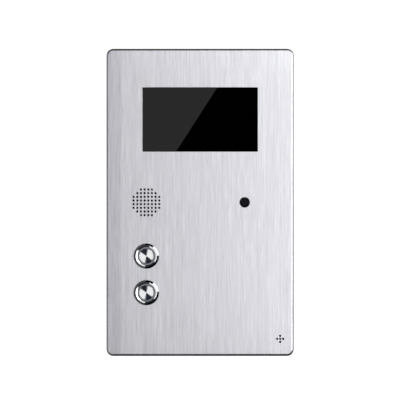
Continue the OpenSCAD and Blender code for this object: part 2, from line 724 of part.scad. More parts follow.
module button_nuts() color([0.75, 0.75, 0.76]) on_wall() for (n = [1, 2])
    translate(button_at(n)) difference() {
        translate([0, 0, inner_z - 3.5]) cylinder(r = 12.7, h = 3.5, $fn = 6);
        translate([0, 0, inner_z - 3.5 - cut]) cylinder(r = barrel_d / 2 + gap, h = 3.5 + 2 * cut);
    }

module button_terminals() color([0.85, 0.7, 0.35]) on_wall() for (n = [1, 2], i = [-2:2])
    translate(button_at(n) + [i * 3 - 0.25, (i % 2) * 2 - 1.4, block_back - terminal_h])
        cube([0.5, 2.8, terminal_h]);

// Head and threaded barrel: a chamfer outside and a shallow dish inside.
module button_bezel(n) color([0.82, 0.82, 0.84]) on_wall() translate(button_at(n)) {
    r = head_d / 2;
    bore = light_d / 2 + gap;
    rotate_extrude() polygon([
        [bore, barrel_back], [barrel_d / 2, barrel_back], [barrel_d / 2, head_back],
        [r, head_back], [r, head_back + 0.2], [r - head_chamfer, head_front],
        [r - head_chamfer - 0.2, head_front],
        [bore, head_front - head_dish], [bore, barrel_back]]);
}
module button_bezel_1() button_bezel(1);
module button_bezel_2() button_bezel(2);

module light_rings() color([0.55, 0.57, 0.6]) on_wall() for (n = [1, 2])
    translate(button_at(n)) ring(light_d / 2, cap_d / 2 + gap, light_front - 2, light_front);

// Plastic sleeve that carries the light ring and guides the cap and the plunger.
module button_guides() color([0.12, 0.12, 0.13]) on_wall() for (n = [1, 2]) translate(button_at(n))
    rotate_extrude() polygon([
        [plunger_r + gap, guide_floor_z], [light_d / 2, guide_floor_z],
        [light_d / 2, light_front - 2], [cap_d / 2 + gap, light_front - 2],
        [cap_d / 2 + gap, guide_floor_z + guide_floor_t],
        [plunger_r + gap, guide_floor_z + guide_floor_t]]);

module button_cap(n) color([0.85, 0.85, 0.87]) on_wall() translate(button_at(n)) {
    r = cap_d / 2;
    rotate_extrude() polygon([
        [0, cap_back], [r, cap_back], [r, cap_front - 0.3], [r - 0.3, cap_front], [0, cap_front]]);
}
module button_cap_1() button_cap(1);
module button_cap_2() button_cap(2);

// Rod under the cap. Its collar stops against the underside of the guide's floor.
module button_plunger(n) color([0.9, 0.9, 0.88]) on_wall() translate(button_at(n))
    rotate_extrude() polygon([
        [0, plunger_back], [plunger_r, plunger_back], [plunger_r, collar_z],
        [plunger_r + collar_lip, collar_z], [plunger_r + collar_lip, guide_floor_z],
        [plunger_r, guide_floor_z], [plunger_r, cap_back], [0, cap_back]]);
module button_plunger_1() button_plunger(1);
module button_plunger_2() button_plunger(2);

// Return spring between the guide's floor and the cap.
module button_spring(n) color([0.7, 0.7, 0.72]) on_wall() translate(button_at(n)) {
    low = guide_floor_z + guide_floor_t + spring_wire / 2;
    high = cap_back - spring_wire / 2;
    steps = 14 * spring_turns;
    wire([for (i = [0:steps]) let (a = 360 * spring_turns * i / steps)
        [spring_r * cos(a), spring_r * sin(a), low + (high - low) * i / steps]],
        spring_wire / 2, 6);
}
module button_spring_1() button_spring(1);
module button_spring_2() button_spring(2);

// Switch block under the barrel, with a well for the plunger.
module contact_block(n) color([0.1, 0.1, 0.1]) on_wall() translate(button_at(n)) difference() {
    union() {
        translate([0, 0, block_back]) cylinder(r = block_r, h = barrel_back - block_back);
        translate([0, 0, barrel_back]) cylinder(r = light_d / 2, h = block_neck_front - barrel_back);
    }
    translate([0, 0, well_floor])
        cylinder(r = plunger_r + 2 * collar_lip, h = block_neck_front - well_floor + cut);
}
module contact_block_1() contact_block(1);
module contact_block_2() contact_block(2);

// ---------- nodes ----------

front_shell();
hook_tabs();
back_plate();
plate_flanges();
wall_seal();
cable_grommet();
clinch_nuts();
security_screws();
pan_screws();
window_seal();
display_window();
lcd_bezel();
lcd_panel();
lcd_backlight();
display_bracket();
lcd_ribbon();
bracket_standoffs();
speaker_mesh();
speaker_gasket();
speaker_frame();
speaker_cone();
speaker_magnet();
speaker_clamp();
camera_window();
camera_lens();
camera_barrel();
camera_housing();
camera_board();
camera_bracket();
camera_ribbon();
mic_capsule();
mic_boot();
mic_bracket();
main_board();
board_standoffs();
processor_shield();
board_chips();
capacitors();
door_relay();
network_jack();
terminal_block();
board_headers();
audio_leads();
button_leads();
button_seals();
button_nuts();
button_terminals();
button_bezel_1();
button_bezel_2();
light_rings();
button_guides();
button_cap_1();
button_cap_2();
button_plunger_1();
button_plunger_2();
button_spring_1();
button_spring_2();
contact_block_1();
contact_block_2();
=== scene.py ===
"""Looks of the door intercom panel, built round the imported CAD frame.

Lengths are in millimetres and in panel coordinates (x right, y up, z out of the wall) until
panel() turns them into the frame's metres. Positions come from the CAD nodes' boxes.
"""
import json
import math

import bmesh
import bpy
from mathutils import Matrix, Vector
from mathutils.geometry import tessellate_polygon


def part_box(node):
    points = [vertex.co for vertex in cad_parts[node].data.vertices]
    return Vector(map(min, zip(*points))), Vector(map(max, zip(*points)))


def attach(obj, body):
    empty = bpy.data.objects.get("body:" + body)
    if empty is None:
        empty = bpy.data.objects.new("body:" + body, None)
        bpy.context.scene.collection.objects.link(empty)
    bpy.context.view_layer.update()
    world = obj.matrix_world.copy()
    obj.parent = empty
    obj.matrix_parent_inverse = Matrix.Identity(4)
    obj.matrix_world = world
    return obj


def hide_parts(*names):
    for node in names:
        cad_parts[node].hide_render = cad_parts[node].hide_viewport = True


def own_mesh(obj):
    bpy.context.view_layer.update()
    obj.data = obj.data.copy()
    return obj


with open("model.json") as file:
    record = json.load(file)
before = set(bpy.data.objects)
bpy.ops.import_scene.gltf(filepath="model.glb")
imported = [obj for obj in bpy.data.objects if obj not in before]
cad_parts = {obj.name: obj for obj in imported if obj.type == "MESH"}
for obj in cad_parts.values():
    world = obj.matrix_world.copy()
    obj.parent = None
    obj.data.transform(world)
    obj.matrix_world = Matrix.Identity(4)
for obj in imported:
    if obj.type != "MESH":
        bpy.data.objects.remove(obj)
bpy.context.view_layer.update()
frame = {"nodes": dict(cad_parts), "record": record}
NODES = frame["nodes"]
MM = 0.001


# ---------- measures read from the frame ----------

def panel(x, y, z):
    """A point given in panel millimetres, in the frame's metres."""
    return Vector((x * MM, -z * MM, y * MM))


def span(node):
    """A node's box in panel millimetres: ((x0, y0, z0), (x1, y1, z1))."""
    lo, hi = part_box(node)
    return (lo.x / MM, lo.z / MM, -hi.y / MM), (hi.x / MM, hi.z / MM, -lo.y / MM)


def middle(node):
    lo, hi = span(node)
    return (lo[0] + hi[0]) / 2, (lo[1] + hi[1]) / 2


SHELL_LO, SHELL_HI = span("front_shell")
W, H = SHELL_HI[0] - SHELL_LO[0], SHELL_HI[1] - SHELL_LO[1]
FRONT, RIM = SHELL_HI[2], SHELL_LO[2]
SHEET = 2.0                           # thickness of the shell's sheet
CORNER = 6.0                          # radius of the front's corners
BEND = 2.0                            # radius of the fold round the front
INNER = FRONT - SHEET
WINDOW = (101.0, 56.3)                # opening in front of the display
WINDOW_AT = middle("display_window")
SPEAKER_AT = middle("speaker_mesh")
CAMERA_AT = middle("camera_window")
MIC_AT = middle("mic_capsule")
BUTTONS = {n: middle(f"button_cap_{n}") for n in (1, 2)}
SOUND_HOLE, CAMERA_HOLE, HEAD_HOLE = 0.9, 4.6, 9.55     # radii of the front's round openings
PUNCHED, DEBURRED = 0.2, 0.08         # how far the lips of the openings are broken
SHADE_BAND = 13.0                           # width of the painted shade along the left edge, where the base colour is darker
BARREL = 9.45                         # radius of a call button's threaded barrel
HEAD_BORE = 7.95                      # radius of the bore that holds the light ring
RING_IN, RING_OUT = 6.6, 7.85         # a light ring's radii


# ---------- mesh building ----------

def arc(cx, cy, r, a0, a1, steps):
    """Points of an arc, both ends included. Angles in degrees."""
    return [(cx + r * math.cos(math.radians(a0 + (a1 - a0) * i / steps)),
             cy + r * math.sin(math.radians(a0 + (a1 - a0) * i / steps)))
            for i in range(steps + 1)]


def round_rect(w, h, r, steps=10, cx=0.0, cy=0.0):
    """An anticlockwise outline with round corners."""
    out = []
    for sx, sy, start in ((1, 1, 0), (-1, 1, 90), (-1, -1, 180), (1, -1, 270)):
        out += arc(cx + sx * (w / 2 - r), cy + sy * (h / 2 - r), r, start, start + 90, steps)
    return out


def circle(cx, cy, r, steps=24):
    return arc(cx, cy, r, 0, 360, steps)[:-1]


def rounded(points, radius, steps=4, closed=True):
    """The outline with each corner rounded. radius is one number, or one for each corner."""
    n = len(points)
    radii = radius if isinstance(radius, (list, tuple)) else [radius] * n
    out = []
    for i, p in enumerate(points):
        r = radii[i]
        if r <= 0 or (not closed and i in (0, n - 1)):
            out.append(p)
            continue
        a, b, c = (Vector(points[(i + k) % n]) for k in (-1, 0, 1))
        u, v = (a - b), (c - b)
        lu, lv = u.length, v.length
        u.normalize()
        v.normalize()
        angle = u.angle(v)
        if angle > math.pi - 0.02:
            out.append(p)
            continue
        back = min(r / math.tan(angle / 2), 0.48 * lu, 0.48 * lv)
        r = back * math.tan(angle / 2)
        centre = b + (u + v).normalized() * (r / math.sin(angle / 2))
        s, e = b + u * back - centre, b + v * back - centre
        turn = math.atan2(s.x * e.y - s.y * e.x, s.dot(e))
        for k in range(steps + 1):
            t = turn * k / steps
            out.append((centre.x + s.x * math.cos(t) - s.y * math.sin(t),
                        centre.y + s.x * math.sin(t) + s.y * math.cos(t)))
    return out


class Build:
    """Collects vertices and faces in panel millimetres, then makes one object."""

    def __init__(self):
        self.verts, self.faces, self.slots, self.unfold = [], [], [], []

    def add(self, x, y, z, uv=None):
        self.verts.append(panel(x, y, z))
        self.unfold.append(uv if uv else (x, y))
        return len(self.verts) - 1

    def loop(self, points, z, uvs=None):
        return [self.add(x, y, z, uvs[i] if uvs else None) for i, (x, y) in enumerate(points)]

    def face(self, ids, slot=0):
        """A face without repeated neighbours, left out when fewer than three points remain."""
        ids = [v for k, v in enumerate(ids) if v != ids[k - 1]]
        if len(ids) > 2:
            self.faces.append(ids)
            self.slots.append(slot)

    def bridge(self, a, b, slot=0):
        """A belt of faces between two closed loops of vertex numbers."""
        n = len(a)
        for i in range(n):
            j = (i + 1) % n
            self.face((a[i], a[j], b[j], b[i]), slot)

    def fill(self, outer, holes=(), flip=False):
        """A flat face with holes. outer and holes are lists of vertex numbers."""
        loops = [outer, *holes]
        flat = [v for loop in loops for v in loop]
        for tri in tessellate_polygon([[self.verts[v] for v in loop] for loop in loops]):
            a, b, c = (self.verts[flat[k]] for k in tri)
            out = (b - a).cross(c - a).y < 0
            ids = [flat[k] for k in tri]
            self.face(ids[::-1] if out == flip else ids)

    def lathe(self, profile, at=(0, 0), steps=64, slot=0, closed=True):
        """Turns an outline of (radius, z) round the axis that points out of the wall."""
        rings = []
        for r, z in profile:
            if r < 1e-6:
                rings.append([self.add(at[0], at[1], z)] * steps)
            else:
                rings.append(self.loop(circle(at[0], at[1], r, steps), z))
        n = len(rings)
        for i in range(n if closed else n - 1):
            self.bridge(rings[i], rings[(i + 1) % n], slot)

    def tube(self, path, radius, sides):
        """A round wire along a list of panel points."""
        pts = [Vector(p) for p in path]
        n = len(pts)
        side = None
        rings = []
        for i, p in enumerate(pts):
            d = (pts[min(i + 1, n - 1)] - pts[max(i - 1, 0)]).normalized()
            if side is None:
                side = d.orthogonal().normalized()
            side = (side - d * side.dot(d)).normalized()
            up = d.cross(side)
            rings.append([self.add(*(p + radius * (math.cos(t) * side + math.sin(t) * up)))
                          for t in (2 * math.pi * k / sides for k in range(sides))])
        for a, b in zip(rings, rings[1:]):
            self.bridge(a, b)
        self.face(rings[0][::-1])
        self.face(rings[-1])

    def make(self, name, materials, sharp=32, weighted=True):
        """The object, with edges above `sharp` degrees kept sharp."""
        mesh = bpy.data.meshes.new(name)
        mesh.from_pydata(self.verts, [], self.faces)
        layer = mesh.uv_layers.new(name="UVMap")
        for loop in mesh.loops:
            u, v = self.unfold[loop.vertex_index]
            layer.data[loop.index].uv = (u * MM, v * MM)
        for m in materials:
            mesh.materials.append(m)
        for p, s in zip(mesh.polygons, self.slots):
            p.material_index = s
            p.use_smooth = True
        mesh.validate()
        outward(mesh)
        mesh.set_sharp_from_angle(angle=math.radians(sharp))
        obj = bpy.data.objects.new(name, mesh)
        bpy.context.scene.collection.objects.link(obj)
        if weighted:
            mod = obj.modifiers.new("normals", "WEIGHTED_NORMAL")
            mod.keep_sharp = True
            mod.weight = 60
        return obj


def outward(mesh):
    """Joins points that meet and turns every face outward."""
    bm = bmesh.new()
    bm.from_mesh(mesh)
    bmesh.ops.remove_doubles(bm, verts=bm.verts, dist=1e-8)
    bmesh.ops.recalc_face_normals(bm, faces=bm.faces)
    bm.to_mesh(mesh)
    bm.free()


def settle(obj, body, *nodes, slot=None):
    """The piece rides on a body and stands for CAD nodes, which are hidden; slot is not used."""
    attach(obj, body)
    if nodes:
        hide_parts(*nodes)
    return obj


# ---------- materials ----------

class Mat:
    """A node material round one Principled shader, with a few helpers for its detail."""

    def __init__(self, name, color, rough, metal=0.0, **sockets):
        self.m = bpy.data.materials.new(name)
        self.m.use_nodes = True
        self.nt = self.m.node_tree
        self.bsdf = self.nt.nodes["Principled BSDF"]
        self.color = color
        self.bsdf.inputs["Base Color"].default_value = (*color, 1)
        self.bsdf.inputs["Roughness"].default_value = rough
        self.bsdf.inputs["Metallic"].default_value = metal
        for key, value in sockets.items():
            self.bsdf.inputs[key.replace("_", " ")].default_value = value
        self.height = None
        self.m.diffuse_color = (*color, 1)

    def node(self, kind, **inputs):
        n = self.nt.nodes.new(kind)
        for key, value in inputs.items():
            if key in n.inputs:
                n.inputs[key].default_value = value
            else:
                setattr(n, key, value)
        return n

    def link(self, a, b):
        self.nt.links.new(a, b)

    def coords(self, scale, source="Object", rotation=(0, 0, 0)):
        if source == "UV":
            src = self.node("ShaderNodeUVMap", uv_map="UVMap").outputs["UV"]
        else:
            src = self.node("ShaderNodeTexCoord").outputs[source]
        mp = self.node("ShaderNodeMapping")
        mp.inputs["Scale"].default_value = scale
        mp.inputs["Rotation"].default_value = rotation
        self.link(src, mp.inputs["Vector"])
        return mp.outputs["Vector"]

    def noise(self, scale, source="Object", detail=3.0, roughness=0.55):
        n = self.node("ShaderNodeTexNoise")
        n.inputs["Scale"].default_value = 1.0
        n.inputs["Detail"].default_value = detail
        n.inputs["Roughness"].default_value = roughness
        self.link(self.coords(scale, source), n.inputs["Vector"])
        return n.outputs["Fac"]

    def remap(self, fac, low, high, a=0.3, b=0.7):
        n = self.node("ShaderNodeMapRange")
        n.inputs["From Min"].default_value = a
        n.inputs["From Max"].default_value = b
        n.inputs["To Min"].default_value = low
        n.inputs["To Max"].default_value = high
        self.link(fac, n.inputs["Value"])
        return n.outputs["Result"]

    def maths(self, op, a, b):
        n = self.node("ShaderNodeMath", operation=op)
        for i, v in enumerate((a, b)):
            if isinstance(v, (int, float)):
                n.inputs[i].default_value = v
            else:
                self.link(v, n.inputs[i])
        return n.outputs[0]

    def tint(self, fac, low, high):
        """Base colour between two colours."""
        ramp = self.node("ShaderNodeValToRGB")
        ramp.color_ramp.elements[0].color = (*low, 1)
        ramp.color_ramp.elements[1].color = (*high, 1)
        self.link(fac, ramp.inputs["Fac"])
        self.link(ramp.outputs["Color"], self.bsdf.inputs["Base Color"])
        return self

    def mottle(self, fac, amount):
        """Base colour varied round the material's own colour by a share."""
        c = self.color
        return self.tint(self.remap(fac, 0.0, 1.0),
                         tuple(v * (1 - amount) for v in c),
                         tuple(min(1.0, v * (1 + amount)) for v in c))

    def gloss(self, fac, low, high):
        self.link(self.remap(fac, low, high), self.bsdf.inputs["Roughness"])
        return self

    def bump(self, fac, depth):
        """Bump with a depth in millimetres."""
        b = self.node("ShaderNodeBump")
        b.inputs["Strength"].default_value = 1.0
        b.inputs["Distance"].default_value = depth * MM
        self.link(fac, b.inputs["Height"])
        if self.height:
            self.link(self.height, b.inputs["Normal"])
        self.height = b.outputs["Normal"]
        self.link(self.height, self.bsdf.inputs["Normal"])
        return self

    def brushed(self, amount):
        """Gloss spread across the brushing, which runs along the UV map's second axis."""
        t = self.node("ShaderNodeTangent")
        t.direction_type, t.uv_map = "UV_MAP", "UVMap"
        self.bsdf.inputs["Anisotropic"].default_value = amount
        self.link(t.outputs["Tangent"], self.bsdf.inputs["Tangent"])
        return self


def shell_steel():
    """Stainless sheet with upright brushing: streaks, broader bands and faint smudges.

    The fold is smoother than the flats. Along the left edge the base colour is darker: painted
    shade.
    """
    m = Mat("shell_steel", (0.60, 0.60, 0.635), 0.4, metal=1.0)
    fine = m.noise((800, 34, 1), "UV", detail=5, roughness=0.75)
    wide = m.noise((330, 4, 1), "UV", detail=3)
    cloud = m.noise((22, 16, 1), "UV", detail=2)
    both = m.maths("ADD", m.maths("MULTIPLY", fine, 0.75), m.maths("MULTIPLY", wide, 0.25))
    place = m.node("ShaderNodeSeparateXYZ")
    m.link(m.coords((1, 1, 1), "UV"), place.inputs[0])
    u, v = place.outputs["X"], place.outputs["Y"]

    left = (-W / 2 + SHADE_BAND) * MM
    inward = m.maths("ADD", u, m.maths("MULTIPLY", wide, 4 * MM))
    # painted shade: the base colour is darkened along the left edge of the face, fading out over 4
    # mm
    painted_shade = m.remap(inward, 1.0, 0.0, left, left + 4 * MM)
    streaks = m.remap(both, 0.35, 1.0)
    m.tint(m.maths("SUBTRACT", streaks, m.maths("MULTIPLY", painted_shade, 0.2)),
           (0.33, 0.33, 0.365), (0.715, 0.715, 0.75))

    out = m.maths("MAXIMUM", m.maths("SUBTRACT", m.maths("ABSOLUTE", u, 0), (W / 2 - BEND) * MM),
                  m.maths("SUBTRACT", m.maths("ABSOLUTE", v, 0), (H / 2 - BEND) * MM))
    fold = m.maths("MULTIPLY", m.remap(out, 0.0, 1.0, 0.0, 0.4 * MM),
                   m.remap(out, 1.0, 0.0, 3 * MM, 5 * MM))
    rough = m.maths("ADD", m.remap(both, 0.375, 0.425), m.remap(cloud, -0.008, 0.008))
    rough = m.maths("SUBTRACT", rough, m.maths("MULTIPLY", fold, 0.2))
    m.link(rough, m.bsdf.inputs["Roughness"])
    return m.brushed(0.9)


def polished_steel():
    """Turned and polished steel: its rings are modelled, so the gloss stays tight."""
    m = Mat("button_steel", (0.86, 0.865, 0.88), 0.1, metal=1.0)
    m.mottle(m.noise((260, 260, 260), detail=3), 0.02)
    return m.gloss(m.noise((700, 700, 700)), 0.08, 0.12)


def zinc_steel():
    m = Mat("zinc_steel", (0.56, 0.57, 0.585), 0.42, metal=1.0)
    spangle = m.node("ShaderNodeTexVoronoi")
    m.link(m.coords((120, 120, 120)), spangle.inputs["Vector"])
    m.mottle(m.maths("ADD", m.maths("MULTIPLY", spangle.outputs["Distance"], 0.4),
                     m.maths("MULTIPLY", m.noise((260, 260, 260)), 0.6)), 0.1)
    m.gloss(m.noise((90, 90, 90)), 0.4, 0.46)
    return m.bump(m.noise((900, 900, 900)), 0.004)


def plain(name, color, rough, metal=0.0, grain=0.06, scale=500, depth=0.006, **sockets):
    """A moulded, cast, drawn or plated surface with fine grain and uneven gloss."""
    m = Mat(name, color, rough, metal, **sockets)
    m.mottle(m.noise((scale * 0.2,) * 3), grain)
    m.gloss(m.noise((scale * 0.5,) * 3), rough * 0.88, min(1.0, rough * 1.12))
    return m.bump(m.noise((scale * 3,) * 3, detail=4), depth)


def foam():
    m = Mat("seal_rubber", (0.016, 0.016, 0.017), 0.85)
    cells = m.node("ShaderNodeTexVoronoi")
    m.link(m.coords((1100, 1100, 1100)), cells.inputs["Vector"])
    m.mottle(m.noise((150, 150, 150)), 0.3)
    return m.bump(cells.outputs["Distance"], 0.06)


def circuit_board():
    """Green solder resist over a maze of thin tracks."""
    m = Mat("circuit_board", (0.006, 0.09, 0.035), 0.34)
    brick = m.node("ShaderNodeTexBrick")
    m.link(m.coords((170, 170, 170), rotation=(math.radians(90), 0, 0)), brick.inputs["Vector"])
    brick.inputs["Color1"].default_value = (0.006, 0.085, 0.03, 1)
    brick.inputs["Color2"].default_value = (0.008, 0.11, 0.042, 1)
    brick.inputs["Mortar"].default_value = (0.02, 0.19, 0.07, 1)
    brick.inputs["Mortar Size"].default_value = 0.06
    brick.inputs["Scale"].default_value = 1.0
    m.link(brick.outputs["Color"], m.bsdf.inputs["Base Color"])
    m.gloss(m.noise((200, 200, 200)), 0.28, 0.42)
    return m.bump(brick.outputs["Fac"], 0.03)


def window_glass():
    """Black-backed glass with the faintest unevenness in its gloss."""
    m = Mat("window_glass", (0.0002, 0.0002, 0.00025), 0.004, IOR=1.5)
    return m.gloss(m.noise((40, 40, 40)), 0.002, 0.005)


def clear_cover():
    m = Mat("camera_cover", (0.2, 0.2, 0.23), 0.02, IOR=1.5, Transmission_Weight=1.0)
    return m.gloss(m.noise((60, 60, 60)), 0.01, 0.03)


def lens_glass():
    # The faint purple tint mottled into the near-black base colour is a painted reflection, the
    # glint of a coated lens.
    m = Mat("lens_glass", (0.004, 0.003, 0.008), 0.03, IOR=1.7, Coat_Weight=0.6)
    return m.tint(m.noise((150, 150, 150)), (0.002, 0.002, 0.006), (0.012, 0.006, 0.02))


def acoustic_cloth():
    """Black acoustic cloth: a plain weave that gives back almost no light."""
    m = Mat("acoustic_cloth", (0.0015, 0.0015, 0.0016), 0.95, Specular_IOR_Level=0.05)
    weave = m.node("ShaderNodeTexWave", wave_type="BANDS", bands_direction="DIAGONAL")
    m.link(m.coords((2600, 2600, 2600)), weave.inputs["Vector"])
    m.mottle(weave.outputs["Fac"], 0.4)
    return m.bump(weave.outputs["Fac"], 0.02)


MATS = {
    "shell_steel": shell_steel(),
    "zinc_steel": zinc_steel(),
    "screw_steel": plain("screw_steel", (0.62, 0.63, 0.65), 0.26, 1.0, grain=0.08),
    "button_steel": polished_steel(),
    "seal_rubber": foam(),
    "window_glass": window_glass(),
    "lens_glass": lens_glass(),
    "lcd_glass": plain("lcd_glass", (0.004, 0.004, 0.006), 0.15, grain=0.2, depth=0.0),
    "diffuser_white": plain("diffuser_white", (0.8, 0.81, 0.82), 0.5, grain=0.03),
    "black_plastic": plain("black_plastic", (0.014, 0.014, 0.015), 0.45, grain=0.15, depth=0.01),
    "blue_plastic": plain("blue_plastic", (0.012, 0.05, 0.21), 0.38, grain=0.1, depth=0.01),
    "green_plastic": plain("green_plastic", (0.02, 0.2, 0.05), 0.4, grain=0.1, depth=0.01),
    "ivory_plastic": plain("ivory_plastic", (0.7, 0.66, 0.52), 0.42, grain=0.05, depth=0.01),
    "ring_grey": plain("ring_grey", (0.15, 0.16, 0.172), 0.4, grain=0.05, depth=0.004,
                       Subsurface_Weight=0.1, Subsurface_Scale=0.001),
    "speaker_paper": plain("speaker_paper", (0.02, 0.02, 0.021), 0.9, grain=0.3, depth=0.03),
    "magnet_steel": plain("magnet_steel", (0.4, 0.4, 0.41), 0.4, 1.0, grain=0.1),
    "circuit_board": circuit_board(),
    "tinned_metal": plain("tinned_metal", (0.58, 0.59, 0.6), 0.3, 1.0, grain=0.08, depth=0.003),
    "brass": plain("brass", (0.72, 0.5, 0.2), 0.28, 1.0, grain=0.1),
    "capacitor_can": plain("capacitor_can", (0.62, 0.63, 0.65), 0.32, 1.0, grain=0.05),
    "polyimide_film": plain("polyimide_film", (0.42, 0.17, 0.02), 0.3, grain=0.12, depth=0.004),
    "white_film": plain("white_film", (0.75, 0.75, 0.73), 0.35, grain=0.04, depth=0.004),
    "black_wire": plain("black_wire", (0.012, 0.012, 0.012), 0.5, grain=0.2, depth=0.01),
    "red_wire": plain("red_wire", (0.3, 0.01, 0.01), 0.45, grain=0.15, depth=0.01),
    "spring_wire": plain("spring_wire", (0.6, 0.61, 0.63), 0.22, 1.0, grain=0.08),
}
MATS = {name: made.m for name, made in MATS.items()}
CLOTH = acoustic_cloth().m
SLOT_OF = {s["node"]: s["material_slot"] for s in frame["record"]["subparts"]}
NO_BEVEL = {"audio_leads", "button_leads", "button_spring_1", "button_spring_2", "camera_lens"}

# Every CAD node gets its material, and all but the NO_BEVEL ones get lightly broken edges.
# Some of them are replaced by finer pieces further down.
for name, node in NODES.items():
    node.data.materials.clear()
    node.data.materials.append(CLOTH if name == "speaker_mesh" else MATS[SLOT_OF[name]])
    if name in NO_BEVEL:
        continue
    lo, hi = span(name)
    thin = min(b - a for a, b in zip(lo, hi))
    weld = node.modifiers.new("weld", "WELD")
    weld.merge_threshold = 1e-6
    bevel = node.modifiers.new("bevel", "BEVEL")
    bevel.width = min(0.25, 0.12 * thin) * MM
    bevel.segments = 2
    bevel.limit_method = "ANGLE"
    bevel.angle_limit = math.radians(40)
    bevel.harden_normals = False
    node.modifiers.new("normals", "WEIGHTED_NORMAL").keep_sharp = False


# ---------- the shell ----------

def grille(pitch=3.2, count=8):
    """Centres of the sound holes: a square grid without its corners."""
    half = (count - 1) / 2
    return [(SPEAKER_AT[0] + (i - half) * pitch, SPEAKER_AT[1] + (j - half) * pitch)
            for i in range(count) for j in range(count)
            if (i - half) ** 2 + (j - half) ** 2 < (count / 2) ** 2 - 1]


def cross(pitch=2.6):
    """Centres of the five microphone holes."""
    x, y = MIC_AT
    return [(x, y), (x + pitch, y), (x - pitch, y), (x, y + pitch), (x, y - pitch)]


def make_shell():
    """Folded sheet: a front with deburred openings, a rounded fold and walls back to the rim."""
    b = Build()
    round_holes = ([(at, SOUND_HOLE, 20, PUNCHED) for at in grille() + cross()]
                   + [(CAMERA_AT, CAMERA_HOLE, 48, DEBURRED)]
                   + [(at, HEAD_HOLE, 64, DEBURRED) for at in BUTTONS.values()])
    openings = [(lambda d, at=at, r=r, n=n: circle(*at, r + d, n), edge)
                for at, r, n, edge in round_holes]
    w, h = WINDOW
    openings.append((lambda d: round_rect(w + 2 * d, h + 2 * d, 0.4 + d, 4, *WINDOW_AT), DEBURRED))

    # rings from the front face's flat part, over the fold and down to the rear rim
    steps = 10
    flat = round_rect(W - 2 * BEND, H - 2 * BEND, CORNER - BEND, 10)
    base = [Vector(p) for p in flat]
    full = [Vector(p) for p in round_rect(W, H, CORNER, 10)]
    rings = []
    for k in range(steps + 1):
        t = math.radians(90 * k / steps)
        share, z = math.sin(t), FRONT - BEND * (1 - math.cos(t))
        uvs = [p + (q - p).normalized() * BEND * t for p, q in zip(base, full)]
        rings.append(b.loop([tuple(p.lerp(q, share)) for p, q in zip(base, full)], z,
                            [tuple(u) for u in uvs]))
    fold_end = BEND * math.pi / 2
    for z, inset in ((RIM + 0.3, 0.0), (RIM + 0.1, 0.08), (RIM, 0.3)):
        travel = fold_end + FRONT - BEND - z
        pts = round_rect(W - 2 * inset, H - 2 * inset, CORNER - inset, 10)
        uvs = [tuple(p + (q - p).normalized() * travel) for p, q in zip(base, full)]
        rings.append(b.loop(pts, z, uvs))
    inner = round_rect(W - 2 * SHEET, H - 2 * SHEET, CORNER - SHEET, 10)
    wider = round_rect(W - 2 * SHEET + 0.4, H - 2 * SHEET + 0.4, CORNER - SHEET + 0.2, 10)
    rings.append(b.loop(wider, RIM))
    rings.append(b.loop(inner, RIM + 0.2))
    rings.append(b.loop(inner, INNER))
    for one, two in zip(rings, rings[1:]):
        b.bridge(one, two)

    front_holes, back_holes = [], []
    for grown, edge in openings:
        lip = [b.loop(grown(edge), FRONT), b.loop(grown(0.3 * edge), FRONT - 0.3 * edge),
               b.loop(grown(0), FRONT - edge), b.loop(grown(0), INNER)]
        for one, two in zip(lip, lip[1:]):
            b.bridge(one, two)
        front_holes.append(lip[0])
        back_holes.append(lip[-1])
    b.fill(rings[0], front_holes)
    b.fill(rings[-1], back_holes, flip=True)
    return settle(b.make("shell", [MATS["shell_steel"]], sharp=14), "panel", "front_shell",
                  slot="shell_steel")


make_shell()


# ---------- buttons ----------

for n, at in BUTTONS.items():
    lo, hi = span(f"button_bezel_{n}")
    back, top = lo[2], hi[2]
    r = (hi[0] - lo[0]) / 2
    head_back = FRONT + 0.5
    dish = top - 0.33
    outline = [(HEAD_BORE, back), (BARREL - 0.5, back), (BARREL, back + 0.6)]
    z = back + 1.2
    while z < INNER - 1.0:                      # thread of 1 mm pitch, cut under the nut
        outline += [(BARREL - 0.45, z), (BARREL, z + 0.5)]
        z += 1.0
    outline += [(BARREL - 0.3, INNER), (BARREL, INNER + 0.4), (BARREL, head_back)]
    head = rounded([(BARREL, head_back), (r, head_back), (r, head_back + 0.25), (r - 1.7, top),
                    (r - 1.9, top), (HEAD_BORE + 0.1, dish), (HEAD_BORE, dish - 0.2)],
                   [0, 0.08, 0.12, 0.18, 0.2, 0.08, 0], 4, closed=False)
    b = Build()
    b.lathe(outline + head[1:], at, 128)
    settle(b.make(f"bezel_{n}", [MATS["button_steel"]], sharp=40), "panel", f"button_bezel_{n}",
           slot="button_steel")

    lo, hi = span(f"button_cap_{n}")
    r, z0, z1 = (hi[0] - lo[0]) / 2, lo[2], hi[2]
    skirt = rounded([(0, z0), (r, z0), (r, z1), (r - 1, z1)], [0, 0.15, 0.3, 0], 5,
                    closed=False)[:-1]
    pitch, slope = 0.15, math.radians(10)       # rings left by the turning tool
    flat_r = r - 0.45
    steps = int(flat_r / pitch * 2)
    turned = [(flat_r * (1 - k / steps), z1 - (k % 2) * 0.5 * pitch * math.tan(slope))
              for k in range(steps + 1)]
    b = Build()
    b.lathe(skirt + turned, at, 128, closed=False)
    settle(b.make(f"cap_{n}", [MATS["button_steel"]], sharp=12), f"call_button_{n}",
           f"button_cap_{n}", slot="button_steel")

    lo, hi = span(f"button_spring_{n}")
    wire, radius, turns, points = 0.3, 4.4, 5, 240
    b = Build()
    b.tube([(at[0] + radius * math.cos(a), at[1] + radius * math.sin(a),
             lo[2] + wire + (hi[2] - lo[2] - 2 * wire) * a / (2 * math.pi * turns))
            for a in (2 * math.pi * turns * k / points for k in range(points + 1))], wire, 12)
    spring = settle(b.make(f"spring_{n}", [MATS["spring_wire"]], weighted=False), "panel",
                    f"button_spring_{n}", slot="spring_wire")
    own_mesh(spring)

